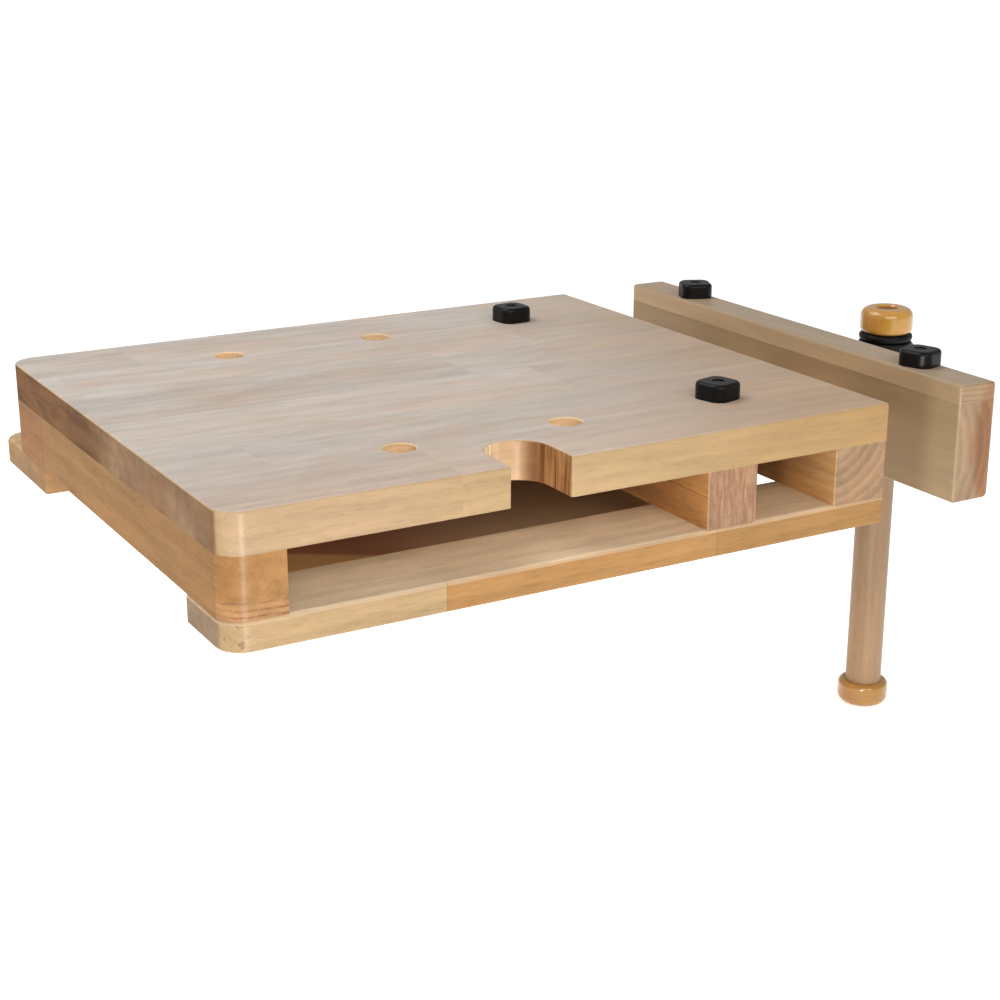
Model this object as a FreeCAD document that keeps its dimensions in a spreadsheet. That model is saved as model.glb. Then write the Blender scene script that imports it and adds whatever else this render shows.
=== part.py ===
import FreeCAD, Part
import os
import Sketcher
from FreeCAD import Vector, Rotation, Placement

# Portable workbench: a slotted laminated-wood bench top on three cross blocks
# and two base boards, with a full-width wooden end vise, a wooden tommy-bar
# handle and four lift-out bench dogs.  Millimetres, +Z up, +X towards the vise,
# +Y towards the rear.  The origin is the centre of the front base board's
# underside, on the plane that the bench stands on.

doc = FreeCAD.newDocument("portable_workbench")

# ------------------------------------------------------------------ dimensions
SIZES = [
    # bench
    ("bench_length", 450), ("bench_depth", 390),
    ("top_thick", 25), ("block_height", 37), ("base_thick", 18),
    ("corner_round", 16), ("edge_round", 1.5), ("base_round", 3), ("block_ease", 0.8),
    ("left_block_width", 37), ("mid_block_from", 312), ("mid_block_width", 36.5),
    ("right_block_width", 40),
    ("front_board_depth", 62), ("rear_board_from", 324), ("rear_board_depth", 102),
    ("inner_corner_round", 6),
    # dog holes and fretwork notch
    ("dog_hole_dia", 20), ("hole_first", 136.5), ("hole_step", 113.5),
    ("hole_inset", 64), ("hole_chamfer", 0.7),
    ("notch_centre", 195), ("notch_width", 40), ("notch_depth", 47), ("notch_lip", 2),
    # glued dowels and base screws
    ("dowel_dia", 10), ("dowel_length", 30), ("dowel_slack", 0.03),
    ("dowel_edge", 31), ("dowel_inner", 43),
    ("wood_screw_dia", 4.4), ("wood_screw_length", 44), ("wood_screw_head", 9),
    ("wood_screw_head_height", 2.8), ("wood_screw_sink", 0.6), ("wood_screw_slack", 0.05),
    ("screw_edge", 14), ("screw_inner", 48),
    # vise jaw
    ("jaw_gap", 66), ("jaw_thick", 34), ("jaw_front", 5), ("jaw_length", 385),
    ("jaw_bottom", 0.5), ("jaw_proud", 1), ("jaw_round", 7.5), ("jaw_corner", 2.8), ("jaw_ease", 1.8),
    # screw, nut, collar and thrust parts
    ("screw_centre", 195), ("screw_height", 41.5), ("screw_dia", 18), ("screw_tail", 345),
    ("screw_clear", 21), ("running_gap", 0.05), ("loose_gap", 0.3),
    ("spigot_dia", 15), ("spigot_length", 30),
    ("nut_flange_thick", 6), ("nut_flange_width", 76), ("nut_flange_height", 26),
    ("nut_barrel_dia", 24), ("nut_barrel_length", 34), ("nut_screw_offset", 28),
    ("nut_screw_dia", 5), ("nut_screw_length", 28), ("nut_screw_head", 9.5), ("nut_screw_head_height", 3.2),
    ("collar_dia", 30), ("collar_width", 10), ("collar_pocket_dia", 34), ("collar_pocket_depth", 12),
    ("collar_inset", 0.5), ("grub_dia", 5), ("grub_length", 6.5),
    ("plate_size", 64), ("plate_corner", 6), ("plate_thick", 4), ("plate_screw_offset", 24),
    ("plate_screw_dia", 4.4), ("plate_screw_length", 24),
    ("washer_dia", 40), ("washer_thick", 2),
    # guide rods
    ("rod_dia", 16), ("rod_spread", 85), ("rod_tail", 266), ("rod_seat", 22),
    ("bush_dia", 20), ("rod_chamfer", 1.2),
    ("rod_bolt_dia", 8), ("rod_bolt_reach", 14), ("rod_bolt_head", 14.5), ("rod_bolt_head_height", 5.5),
    ("rod_washer_dia", 24), ("rod_washer_thick", 1.6),
    # screw hub and handle
    ("hub_flange_dia", 40), ("hub_flange_thick", 8), ("hub_neck_dia", 30), ("hub_dia", 41),
    ("handle_offset", 68), ("hub_half", 21), ("hub_round", 4), ("hub_sleeve_dia", 40),
    ("hub_pin_dia", 6), ("hub_pin_offset", 18),
    ("handle_dia", 28), ("handle_clear", 0.3), ("handle_low", -218.5),
    ("cap_dia", 39.6), ("cap_height", 19), ("cap_round", 6.5), ("cap_round_small", 3.9),
    ("tenon_dia", 16), ("tenon_recess", 1.8), ("cap_dimple_chamfer", 1.2),
    ("ring_section", 6.1),
    # bench dogs
    ("dog_side", 24.6), ("dog_head", 11.2), ("dog_corner", 7.6), ("dog_top_round", 2.6),
    ("dog_peg_dia", 19.4), ("dog_peg_length", 45), ("dog_peg_chamfer", 1.5),
    ("dog_dimple_dia", 8), ("dog_dimple_depth", 0.6),
    ("dog_turn_a", 14), ("dog_turn_b", 4), ("dog_turn_c", 18), ("dog_turn_d", -24),
]
sheet = doc.addObject("Spreadsheet::Sheet", "dims")
for i, (alias, value) in enumerate(SIZES, start=1):
    sheet.set("A%d" % i, alias)
    sheet.set("B%d" % i, str(value))
    sheet.setAlias("B%d" % i, alias)
doc.recompute()

V = {alias: float(sheet.get(alias)) for alias, _ in SIZES}


def d(text):
    """Write sheet names short: '@name' becomes a reference to that cell."""
    return text.replace("@", "dims.")


def X(text):
    """A bench X, counted from the left end, in the part's own frame."""
    return d("-@bench_length/2+(" + text + ")")


def Y(text):
    """A bench Y, counted from the front face, in the part's own frame."""
    return d("-@front_board_depth/2+(" + text + ")")


def place(obj, x, y, z):
    obj.setExpression("Placement.Base.x", x)
    obj.setExpression("Placement.Base.y", y)
    obj.setExpression("Placement.Base.z", d(z))


TURN = {"x": Rotation(Vector(0, 1, 0), 90), "-x": Rotation(Vector(0, 1, 0), -90),
        "y": Rotation(Vector(1, 0, 0), -90), "z": Rotation(), "-z": Rotation(Vector(1, 0, 0), 180)}


def box(name, size, x, y, z):
    o = doc.addObject("Part::Box", name)
    for prop, text in zip(("Length", "Width", "Height"), size):
        o.setExpression(prop, d(text))
    place(o, x, y, z)
    return o


def cyl(name, radius, height, x, y, z, axis="z"):
    o = doc.addObject("Part::Cylinder", name)
    o.setExpression("Radius", d(radius))
    o.setExpression("Height", d(height))
    o.Placement = Placement(Vector(), TURN[axis])
    place(o, x, y, z)
    return o


def cone(name, r1, r2, height, x, y, z, axis="z"):
    o = doc.addObject("Part::Cone", name)
    o.setExpression("Radius1", d(r1))
    o.setExpression("Radius2", d(r2))
    o.setExpression("Height", d(height))
    o.Placement = Placement(Vector(), TURN[axis])
    place(o, x, y, z)
    return o


def fuse(name, parts):
    o = doc.addObject("Part::MultiFuse", name)
    o.Shapes = parts
    return o


def cut(name, base, tools):
    tool = tools[0] if len(tools) == 1 else fuse(name + "_tools", tools)
    o = doc.addObject("Part::Cut", name)
    o.Base = base
    o.Tool = tool
    return o


def group(name, parts):
    o = doc.addObject("Part::Compound", name)
    o.Links = parts
    return o


def edges_where(shape, test):
    return [i + 1 for i, e in enumerate(shape.Edges) if test(e)]


def rounded(name, base, alias, test):
    """Round the edges of a finished shape that pass the test."""
    doc.recompute()
    o = doc.addObject("Part::Fillet", name)
    o.Base = base
    ids = edges_where(base.Shape, test)
    if not ids:
        raise RuntimeError("no edge to round on " + name)
    o.Edges = [(i, V[alias], V[alias]) for i in ids]
    doc.recompute()
    return o


def eased(name, base, alias, test):
    """Chamfer the edges of a finished shape that pass the test."""
    doc.recompute()
    o = doc.addObject("Part::Chamfer", name)
    o.Base = base
    ids = edges_where(base.Shape, test)
    if not ids:
        raise RuntimeError("no edge to chamfer on " + name)
    o.Edges = [(i, V[alias], V[alias]) for i in ids]
    doc.recompute()
    return o


# ------------------------------------------------------- bodies built by sketch
def new_body(name, x, y, z):
    b = doc.addObject("PartDesign::Body", name)
    place(b, x, y, z)
    doc.recompute()
    return b


def plane(body, role):
    return [f for f in body.Origin.OriginFeatures if f.Role == role][0]


def new_sketch(body, name, role="XY_Plane"):
    s = body.newObject("Sketcher::SketchObject", name)
    s.AttachmentSupport = [(plane(body, role), "")]
    s.MapMode = "FlatFace"
    return s


def named(sketch, constraint, name, text):
    i = sketch.addConstraint(constraint)
    sketch.renameConstraint(i, name)
    sketch.setExpression("Constraints." + name, d(text))
    return i


def num(text):
    """The present value of a size expression."""
    t = text
    for alias in sorted(V, key=len, reverse=True):
        t = t.replace("@" + alias, "(%r)" % V[alias])
    return float(FreeCAD.Units.Quantity(t).Value)


def rectangle(sketch, x, y, width, depth):
    """A rectangle with its lower-left corner at x, y, fully dimensioned."""
    x0, y0, w, h = num(x), num(y), num(width), num(depth)
    pts = [Vector(x0, y0, 0), Vector(x0 + w, y0, 0), Vector(x0 + w, y0 + h, 0), Vector(x0, y0 + h, 0)]
    g = [sketch.addGeometry(Part.LineSegment(pts[i], pts[(i + 1) % 4]), False) for i in range(4)]
    for i in range(4):
        sketch.addConstraint(Sketcher.Constraint("Coincident", g[i], 2, g[(i + 1) % 4], 1))
    sketch.addConstraint(Sketcher.Constraint("Horizontal", g[0]))
    sketch.addConstraint(Sketcher.Constraint("Horizontal", g[2]))
    sketch.addConstraint(Sketcher.Constraint("Vertical", g[1]))
    sketch.addConstraint(Sketcher.Constraint("Vertical", g[3]))
    named(sketch, Sketcher.Constraint("DistanceX", g[0], 1, g[0], 2, w), "wide%d" % g[0], width)
    named(sketch, Sketcher.Constraint("DistanceY", g[1], 1, g[1], 2, h), "deep%d" % g[0], depth)
    if x0 == 0 and y0 == 0:
        sketch.addConstraint(Sketcher.Constraint("Coincident", g[0], 1, -1, 1))
    else:
        named(sketch, Sketcher.Constraint("DistanceX", -1, 1, g[0], 1, x0), "left%d" % g[0], x)
        named(sketch, Sketcher.Constraint("DistanceY", -1, 1, g[0], 1, y0), "low%d" % g[0], y)


def circle(sketch, x, y, radius):
    x0, y0, r = num(x), num(y), num(radius)
    g = sketch.addGeometry(Part.Circle(Vector(x0, y0, 0), Vector(0, 0, 1), r), False)
    named(sketch, Sketcher.Constraint("Radius", g, r), "rad%d" % g, radius)
    named(sketch, Sketcher.Constraint("DistanceX", -1, 1, g, 3, x0), "cx%d" % g, x)
    named(sketch, Sketcher.Constraint("DistanceY", -1, 1, g, 3, y0), "cy%d" % g, y)


def pad(body, name, sketch, length, back=False):
    p = body.newObject("PartDesign::Pad", name)
    p.Profile = sketch
    p.setExpression("Length", d(length))
    p.Reversed = back
    doc.recompute()
    return p


def pocket(body, name, sketch, length, removed):
    """Cut a sketch out of the body; the removed volume shows the cut is real."""
    before = body.Shape.Volume
    p = body.newObject("PartDesign::Pocket", name)
    p.Profile = sketch
    p.setExpression("Length", d(length))
    p.Reversed = True
    doc.recompute()
    gone = before - body.Shape.Volume
    if abs(gone - removed) > 0.02 * removed + 1:
        raise RuntimeError("%s removed %.1f mm3, not %.1f" % (name, gone, removed))
    return p


def body_fillet(body, name, alias, test, kind="PartDesign::Fillet"):
    tip = body.Tip
    ids = edges_where(tip.Shape, test)
    if not ids:
        raise RuntimeError("no edge for " + name)
    f = body.newObject(kind, name)
    f.Base = (tip, ["Edge%d" % i for i in ids])
    if kind == "PartDesign::Fillet":
        f.setExpression("Radius", d("@" + alias))
    else:
        f.setExpression("Size", d("@" + alias))
    doc.recompute()
    return f


def mid(e):
    return e.valueAt((e.FirstParameter + e.LastParameter) / 2)


def is_vertical(e):
    if not isinstance(e.Curve, (Part.Line, Part.LineSegment)):
        return False
    a, b = e.Vertexes[0].Point, e.Vertexes[-1].Point
    return abs(a.x - b.x) < 1e-6 and abs(a.y - b.y) < 1e-6


def near(a, b, tol=1e-4):
    return abs(a - b) < tol


def flat_at(e, z):
    bb = e.BoundBox
    return near(bb.ZMin, z, 1e-3) and near(bb.ZMax, z, 1e-3)


PARTS = []


def keep(obj, label):
    obj.Label = label
    PARTS.append(obj)
    return obj


# The blocks' centre lines, where dowels and base screws stand
BLOCK_MIDS = ["@left_block_width/2", "@mid_block_from+@mid_block_width/2", "@bench_length-@right_block_width/2"]
DOWEL_ROWS = [["@dowel_edge", "@screw_centre", "@bench_depth-@dowel_edge-3"],
              ["@dowel_edge", "@screw_centre-@dowel_inner", "@screw_centre+@dowel_inner", "@bench_depth-@dowel_edge-3"],
              ["@dowel_edge", "@screw_centre-@dowel_inner", "@screw_centre+@dowel_inner", "@bench_depth-@dowel_edge-3"]]
FRONT_SCREW_ROWS = ["@screw_edge", "@screw_inner"]
REAR_SCREW_ROWS = ["@rear_board_from+@screw_edge", "@rear_board_from+@screw_inner"]

# -------------------------------------------------------------------- top board
top = new_body("top_body", X("0"), Y("0"), "@base_thick+@block_height")
s = new_sketch(top, "top_outline")
rectangle(s, "0", "0", "@bench_length", "@bench_depth")
pad(top, "top_slab", s, "@top_thick")
body_fillet(top, "top_corners", "corner_round", lambda e: is_vertical(e) and near(mid(e).x, 0))
s = new_sketch(top, "notch_mouth")
rectangle(s, "@notch_centre-@notch_width/2", "-5", "@notch_width", "@notch_depth-@notch_width/2+5")
pocket(top, "notch_throat", s, "@top_thick", V["notch_width"] * (V["notch_depth"] - V["notch_width"] / 2) * V["top_thick"])
s = new_sketch(top, "notch_round")
circle(s, "@notch_centre", "@notch_depth-@notch_width/2", "@notch_width/2")
pocket(top, "notch_end", s, "@top_thick", 3.14159265 * (V["notch_width"] / 2) ** 2 / 2 * V["top_thick"])
body_fillet(top, "notch_lips", "notch_lip",
            lambda e: is_vertical(e) and near(mid(e).y, 0) and near(abs(mid(e).x - V["notch_centre"]), V["notch_width"] / 2))
s = new_sketch(top, "dog_hole_circles")
for row in ("@hole_inset", "@bench_depth-@hole_inset"):
    for col in ("@hole_first", "@hole_first+@hole_step", "@hole_first+2*@hole_step"):
        circle(s, col, row, "@dog_hole_dia/2")
pocket(top, "dog_holes", s, "@top_thick", 6 * 3.14159265 * (V["dog_hole_dia"] / 2) ** 2 * V["top_thick"])
s = new_sketch(top, "dowel_hole_circles")
for block, rows in zip(BLOCK_MIDS, DOWEL_ROWS):
    for row in rows:
        circle(s, block, row, "@dowel_dia/2+@dowel_slack")
pocket(top, "dowel_holes", s, "@dowel_length/2+0.5",
       11 * 3.14159265 * (V["dowel_dia"] / 2 + V["dowel_slack"]) ** 2 * (V["dowel_length"] / 2 + 0.5))
body_fillet(top, "hole_rims", "hole_chamfer",
            lambda e: isinstance(e.Curve, Part.Circle) and near(e.Curve.Radius, V["dog_hole_dia"] / 2)
            and flat_at(e, V["top_thick"]), "PartDesign::Chamfer")


def top_rim(e):
    if not flat_at(e, V["top_thick"]):
        return False
    if isinstance(e.Curve, Part.Circle):
        return not near(e.Curve.Radius, V["dog_hole_dia"] / 2 + V["hole_chamfer"]) or near(mid(e).y, V["notch_depth"], 8)
    return True


body_fillet(top, "top_rim", "edge_round", top_rim)
keep(top, "top_board")

# ------------------------------------------------------------- left end block
left = new_body("left_body", X("0"), Y("0"), "@base_thick")
s = new_sketch(left, "left_outline")
rectangle(s, "0", "0", "@left_block_width", "@bench_depth")
pad(left, "left_bar", s, "@block_height")
body_fillet(left, "left_corners", "corner_round", lambda e: is_vertical(e) and near(mid(e).x, 0))
left_tools = []
for k, row in enumerate(DOWEL_ROWS[0]):
    left_tools.append(cyl("left_dowel_hole%d" % k, "@dowel_dia/2+@dowel_slack", "@dowel_length/2+1", X(BLOCK_MIDS[0]), Y(row),
                          "@base_thick+@block_height-@dowel_length/2-0.5"))
for k, row in enumerate(FRONT_SCREW_ROWS + REAR_SCREW_ROWS):
    left_tools.append(cyl("left_pilot%d" % k, "@wood_screw_dia/2+@wood_screw_slack", "@wood_screw_length-@base_thick+2",
                          X(BLOCK_MIDS[0]), Y(row), "@base_thick-0.5"))
keep(cut("left_block", left, left_tools), "left_end_block")


# ------------------------------------------- middle and right blocks, bored for the vise
def bored_block(name, start, width, which, screw_bore, extra):
    b = box(name + "_bar", (width, "@bench_depth", "@block_height"), X(start), Y("0"), "@base_thick")
    tools = []
    for k, row in enumerate(DOWEL_ROWS[which]):
        tools.append(cyl("%s_dowel_hole%d" % (name, k), "@dowel_dia/2+@dowel_slack", "@dowel_length/2+1", X(BLOCK_MIDS[which]),
                         Y(row), "@base_thick+@block_height-@dowel_length/2-0.5"))
    for k, row in enumerate(FRONT_SCREW_ROWS + REAR_SCREW_ROWS):
        tools.append(cyl("%s_pilot%d" % (name, k), "@wood_screw_dia/2+@wood_screw_slack", "@wood_screw_length-@base_thick+2",
                         X(BLOCK_MIDS[which]), Y(row), "@base_thick-0.5"))
    for k, sign in enumerate("-+"):
        tools.append(cyl("%s_rod_bore%d" % (name, k), "@bush_dia/2+@dowel_slack", width + "+4", X(start + "-2"),
                         Y("@screw_centre%s@rod_spread" % sign), "@screw_height", "x"))
    tools.append(cyl(name + "_screw_bore", screw_bore, width + "+4", X(start + "-2"), Y("@screw_centre"), "@screw_height", "x"))
    tools += extra
    r = rounded(name + "_round", b, "block_ease",
                lambda e: is_vertical(e))
    return cut(name, r, tools)


keep(bored_block("middle", "@mid_block_from", "@mid_block_width", 1, "@screw_clear/2", []), "middle_block")
nut_pilots = [cyl("nut_pilot%d" % k, "@nut_screw_dia/2+@wood_screw_slack", "@nut_screw_length-@nut_flange_thick+2",
                  X("@bench_length-@right_block_width-0.5"), Y("@screw_centre%s@nut_screw_offset" % sign), "@screw_height", "x")
              for k, sign in enumerate("-+")]
keep(bored_block("right", "@bench_length-@right_block_width", "@right_block_width", 2,
                 "@nut_barrel_dia/2+@dowel_slack", nut_pilots), "right_end_block")


# ------------------------------------------------------------------ base boards
def base_board(name, start, depth, rows, corner_tests):
    b = new_body(name + "_body", X("0"), Y(start), "0")
    s = new_sketch(b, name + "_outline")
    rectangle(s, "0", "0", "@bench_length", depth)
    pad(b, name + "_slab", s, "@base_thick")
    for k, (alias, test) in enumerate(corner_tests):
        body_fillet(b, "%s_corner%d" % (name, k), alias, test)
    body_fillet(b, name + "_rim", "edge_round", lambda e: flat_at(e, 0))
    body_fillet(b, name + "_brow", "base_round", lambda e: flat_at(e, V["base_thick"]) and e.BoundBox.XLength > 300)
    tools = []
    for i, block in enumerate(BLOCK_MIDS):
        for k, row in enumerate(rows):
            tools.append(cyl("%s_hole%d%d" % (name, i, k), "@wood_screw_dia/2+@wood_screw_slack", "@base_thick+2",
                             X(block), Y(row), "-1"))
            tools.append(cone("%s_sink%d%d" % (name, i, k),
                              "@wood_screw_head/2+@wood_screw_slack", "@wood_screw_dia/2+@wood_screw_slack",
                              "@wood_screw_head_height", X(block), Y(row), "@wood_screw_sink"))
            tools.append(cyl("%s_mouth%d%d" % (name, i, k), "@wood_screw_head/2+@wood_screw_slack", "@wood_screw_sink+1",
                             X(block), Y(row), "-1"))
    return cut(name, b, tools)


keep(base_board("front_base", "0", "@front_board_depth", FRONT_SCREW_ROWS, [
    ("corner_round", lambda e: is_vertical(e) and near(mid(e).x, 0) and near(mid(e).y, 0)),
    ("inner_corner_round", lambda e: is_vertical(e) and near(mid(e).x, 0) and near(mid(e).y, V["front_board_depth"]))]),
    "front_base_board")
keep(base_board("rear_base", "@rear_board_from", "@rear_board_depth", REAR_SCREW_ROWS, [
    ("corner_round", lambda e: is_vertical(e) and near(mid(e).x, 0) and near(mid(e).y, V["rear_board_depth"]))]),
    "rear_base_board")

# ---------------------------------------------------------- dowels and base screws
dowels = []
for i, (block, rows) in enumerate(zip(BLOCK_MIDS, DOWEL_ROWS)):
    for k, row in enumerate(rows):
        dowels.append(cyl("dowel%d%d" % (i, k), "@dowel_dia/2", "@dowel_length", X(block), Y(row),
                          "@base_thick+@block_height-@dowel_length/2"))
keep(group("dowel_group", dowels), "block_dowels")

screws = []
for i, block in enumerate(BLOCK_MIDS):
    for k, row in enumerate(FRONT_SCREW_ROWS + REAR_SCREW_ROWS):
        n = "base_screw%d%d" % (i, k)
        head = cone(n + "_head", "@wood_screw_head/2", "@wood_screw_dia/2", "@wood_screw_head_height", X(block), Y(row), "@wood_screw_sink")
        shank = cyl(n + "_shank", "@wood_screw_dia/2", "@wood_screw_length-@wood_screw_sink-4", X(block), Y(row), "@wood_screw_sink")
        point = cone(n + "_point", "@wood_screw_dia/2", "0.3", "4", X(block), Y(row), "@wood_screw_length-4")
        slot_a = box(n + "_slot_a", ("5", "1", "1.3"), X(block + "-2.5"), Y(row + "-0.5"), "@wood_screw_sink-0.1")
        slot_b = box(n + "_slot_b", ("1", "5", "1.3"), X(block + "-0.5"), Y(row + "-2.5"), "@wood_screw_sink-0.1")
        screws.append(cut(n, fuse(n + "_whole", [head, shank, point]), [slot_a, slot_b]))
keep(group("base_screw_group", screws), "base_screws")

# ------------------------------------------------------- nut and guide bushes
NUT_X = "@bench_length-@right_block_width"
flange = box("nut_flange", ("@nut_flange_thick", "@nut_flange_width", "@nut_flange_height"),
             X(NUT_X + "-@nut_flange_thick"), Y("@screw_centre-@nut_flange_width/2"), "@screw_height-@nut_flange_height/2-1")
flange = rounded("nut_flange_round", flange, "dog_corner", lambda e: near(e.BoundBox.YLength, 0) and near(e.BoundBox.ZLength, 0))
barrel = cyl("nut_barrel", "@nut_barrel_dia/2", "@nut_barrel_length", X(NUT_X + "-1"), Y("@screw_centre"), "@screw_height", "x")
nut_tools = [cyl("nut_bore", "@screw_dia/2+@running_gap", "@nut_barrel_length+@nut_flange_thick+6", X(NUT_X + "-@nut_flange_thick-2"),
                 Y("@screw_centre"), "@screw_height", "x")]
nut_screws = []
for k, sign in enumerate("-+"):
    yy = Y("@screw_centre%s@nut_screw_offset" % sign)
    nut_tools.append(cyl("nut_hole%d" % k, "@nut_screw_dia/2+@wood_screw_slack", "@nut_flange_thick+4", X(NUT_X + "-@nut_flange_thick-2"),
                         yy, "@screw_height", "x"))
    sh = cyl("nut_screw_shank%d" % k, "@nut_screw_dia/2", "@nut_screw_length", X(NUT_X + "-@nut_flange_thick-1"), yy, "@screw_height", "x")
    hd = cyl("nut_screw_head%d" % k, "@nut_screw_head/2", "@nut_screw_head_height",
             X(NUT_X + "-@nut_flange_thick-@nut_screw_head_height"), yy, "@screw_height", "x")
    hd = rounded("nut_screw_dome%d" % k, hd, "cap_dimple_chamfer", lambda e: isinstance(e.Curve, Part.Circle)
                 and e.BoundBox.XMax < -V["bench_length"] / 2 + V["bench_length"] - V["right_block_width"] - V["nut_flange_thick"] - 1)
    nut_screws.append(fuse("nut_screw%d" % k, [hd, sh]))
keep(cut("nut_cut", fuse("nut_whole", [flange, barrel]), nut_tools), "screw_nut")
keep(group("nut_screw_group", nut_screws), "nut_screws")


def bushes(name, start, width):
    out = []
    for k, sign in enumerate("-+"):
        yy = Y("@screw_centre%s@rod_spread" % sign)
        outer = cyl("%s_outer%d" % (name, k), "@bush_dia/2", width, X(start), yy, "@screw_height", "x")
        bore = cyl("%s_bore%d" % (name, k), "@rod_dia/2+@running_gap", width + "+4", X(start + "-2"), yy, "@screw_height", "x")
        out.append(cut("%s_one%d" % (name, k), outer, [bore]))
    return group(name + "_group", out)


keep(bushes("middle_bush", "@mid_block_from", "@mid_block_width"), "middle_guide_bushes")
keep(bushes("right_bush", "@bench_length-@right_block_width", "@right_block_width"), "right_guide_bushes")

# -------------------------------------------------------------------- vise jaw
JAW_X = "@bench_length+@jaw_gap"
OUT_X = JAW_X + "+@jaw_thick"
jaw = new_body("jaw_body", X(JAW_X), Y("@jaw_front"), "@jaw_bottom")
s = new_sketch(jaw, "jaw_outline")
rectangle(s, "0", "0", "@jaw_thick", "@jaw_length")
pad(jaw, "jaw_beam", s, "@base_thick+@block_height+@top_thick+@jaw_proud-@jaw_bottom")


def jaw_outer(e):
    bb = e.BoundBox
    return near(bb.XMin, V["jaw_thick"], 1e-3) and near(bb.XMax, V["jaw_thick"], 1e-3)


def jaw_corner(e):
    bb = e.BoundBox
    return near(bb.XMin, 0, 1e-3) and near(bb.XMax, 0, 1e-3) and bb.ZLength > 20


body_fillet(jaw, "jaw_inner_corners", "jaw_corner", jaw_corner)
body_fillet(jaw, "jaw_outer_round", "jaw_round", jaw_outer)


def jaw_rest(e):
    bb = e.BoundBox
    if near(bb.XMin, 0, 1e-3) and near(bb.XMax, 0, 1e-3):
        return True
    return isinstance(e.Curve, (Part.Line, Part.LineSegment)) and bb.XLength > 10


body_fillet(jaw, "jaw_inner_ease", "jaw_ease", jaw_rest)
jaw_tools = []
for k, row in enumerate(("@hole_inset", "@bench_depth-@hole_inset")):
    jaw_tools.append(cyl("jaw_dog_hole%d" % k, "@dog_hole_dia/2", "@bench_length", X(JAW_X + "+@jaw_thick/2"), Y(row), "-20"))
    jaw_tools.append(cone("jaw_dog_rim%d" % k, "@dog_hole_dia/2", "@dog_hole_dia/2+@hole_chamfer", "@hole_chamfer",
                          X(JAW_X + "+@jaw_thick/2"), Y(row), "@base_thick+@block_height+@top_thick+@jaw_proud-@hole_chamfer"))
jaw_tools.append(cyl("jaw_screw_hole", "@screw_dia/2+2*@loose_gap", "@jaw_thick+8", X(JAW_X + "-4"), Y("@screw_centre"), "@screw_height", "x"))
jaw_tools.append(cyl("jaw_collar_pocket", "@collar_pocket_dia/2", "@collar_pocket_depth+4", X(OUT_X + "-@collar_pocket_depth"), Y("@screw_centre"), "@screw_height", "x"))
for k, sign in enumerate("-+"):
    yy = Y("@screw_centre%s@rod_spread" % sign)
    jaw_tools.append(cyl("jaw_rod_seat%d" % k, "@rod_dia/2", "@rod_seat+4", X(JAW_X + "-4"), yy, "@screw_height", "x"))
    jaw_tools.append(cyl("jaw_bolt_hole%d" % k, "@rod_bolt_dia/2+@loose_gap", "@jaw_thick+8", X(JAW_X + "-4"), yy, "@screw_height", "x"))
    for j, up in enumerate("-+"):
        jaw_tools.append(cyl("jaw_plate_pilot%d%d" % (k, j), "@plate_screw_dia/2+@wood_screw_slack", "@plate_screw_length+2",
                             X(OUT_X + "-@plate_screw_length+@plate_thick-1"), Y("@screw_centre%s@plate_screw_offset" % sign),
                             "@screw_height%s@plate_screw_offset" % up, "x"))
keep(cut("jaw_cut", jaw, jaw_tools), "vise_jaw")

# ------------------------------------------------------- guide rods and their bolts
rod_bolts, rod_washers = [], []
for k, (sign, label) in enumerate((("-", "guide_rod_front"), ("+", "guide_rod_rear"))):
    yy = Y("@screw_centre%s@rod_spread" % sign)
    bar = cyl("rod%d_bar" % k, "@rod_dia/2", JAW_X + "+@rod_seat-@rod_tail", X("@rod_tail"), yy, "@screw_height", "x")
    bar = eased("rod%d_nose" % k, bar, "rod_chamfer",
                lambda e: isinstance(e.Curve, Part.Circle) and e.BoundBox.XMax < 60)
    tap = cyl("rod%d_tap" % k, "@rod_bolt_dia/2", "@rod_bolt_reach+6", X(JAW_X + "+@rod_seat-@rod_bolt_reach-2"), yy, "@screw_height", "x")
    keep(cut("rod%d_cut" % k, bar, [tap]), label)
    ring = cyl("rod_washer%d_disc" % k, "@rod_washer_dia/2", "@rod_washer_thick", X(OUT_X), yy, "@screw_height", "x")
    hole = cyl("rod_washer%d_hole" % k, "@rod_bolt_dia/2+@loose_gap", "@rod_washer_thick+4", X(OUT_X + "-2"), yy, "@screw_height", "x")
    rod_washers.append(cut("rod_washer%d" % k, ring, [hole]))
    head = cyl("rod_bolt%d_head" % k, "@rod_bolt_head/2", "@rod_bolt_head_height", X(OUT_X + "+@rod_washer_thick"), yy, "@screw_height", "x")
    head = rounded("rod_bolt%d_dome" % k, head, "cap_dimple_chamfer", lambda e: isinstance(e.Curve, Part.Circle)
                   and e.BoundBox.XMin > V["bench_length"] / 2 + V["jaw_gap"] + V["jaw_thick"] + V["rod_washer_thick"] + 1)
    shank = cyl("rod_bolt%d_shank" % k, "@rod_bolt_dia/2", "@jaw_thick-@rod_seat+@rod_bolt_reach+@rod_washer_thick+1",
                X(JAW_X + "+@rod_seat-@rod_bolt_reach"), yy, "@screw_height", "x")
    key = doc.addObject("Part::Prism", "rod_bolt%d_key" % k)
    key.Polygon = 6
    key.Circumradius = 3.4
    key.Height = 4
    key.Placement = Placement(Vector(), TURN["x"])
    place(key, X(OUT_X + "+@rod_washer_thick+@rod_bolt_head_height-3"), yy, "@screw_height")
    rod_bolts.append(cut("rod_bolt%d" % k, fuse("rod_bolt%d_whole" % k, [head, shank]), [key]))
keep(group("rod_bolt_group", rod_bolts), "rod_bolts")
keep(group("rod_washer_group", rod_washers), "rod_washers")

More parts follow.
